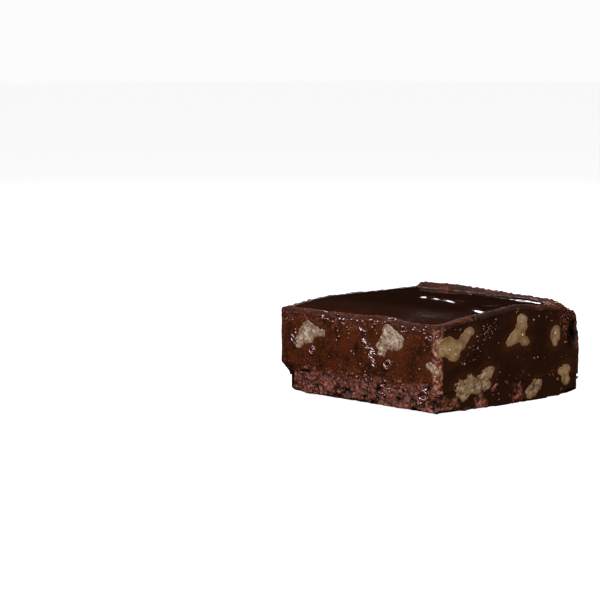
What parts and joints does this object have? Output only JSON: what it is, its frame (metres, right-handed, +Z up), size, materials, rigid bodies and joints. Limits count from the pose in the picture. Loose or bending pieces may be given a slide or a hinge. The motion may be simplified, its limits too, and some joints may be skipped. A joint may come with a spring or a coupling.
{
  "type": "chocolate fudge square",
  "caption": "Cut square of dark chocolate fudge: glossy slab on a thin crumbly base layer, pale walnut pieces showing in its cut sides. Rests flat as a food prop.",
  "frame": {"origin": "middle of the flat underside, under the middle of the piece's bounding box", "axes": "+Z up through the glossy top; +X along the longer side, out of the right-hand cut face; -Y out of the front cut face"},
  "size_m": [0.052, 0.05, 0.0226],
  "materials": {
    "fudge": "dark chocolate, glossy on top, satin on the cut sides",
    "crumb": "matte red-brown crumb",
    "walnut": "pale nut flesh, faintly oily"
  },
  "bodies": {
    "root": {"fudge_slab": "fudge", "crumb_base": "crumb", "walnut_front_heel": "walnut", "walnut_front_tooth": "walnut", "walnut_front_sliver": "walnut", "walnut_right_boot": "walnut", "walnut_right_crest": "walnut", "walnut_right_fork": "walnut", "walnut_right_bean": "walnut", "walnut_right_knuckle": "walnut", "walnut_right_thumb": "walnut", "walnut_back_tooth": "walnut", "walnut_back_crest": "walnut", "walnut_back_bean": "walnut", "walnut_back_heel": "walnut", "walnut_left_fork": "walnut", "walnut_left_thumb": "walnut", "walnut_left_boot": "walnut", "walnut_left_knuckle": "walnut"}
  },
  "joints": []
}
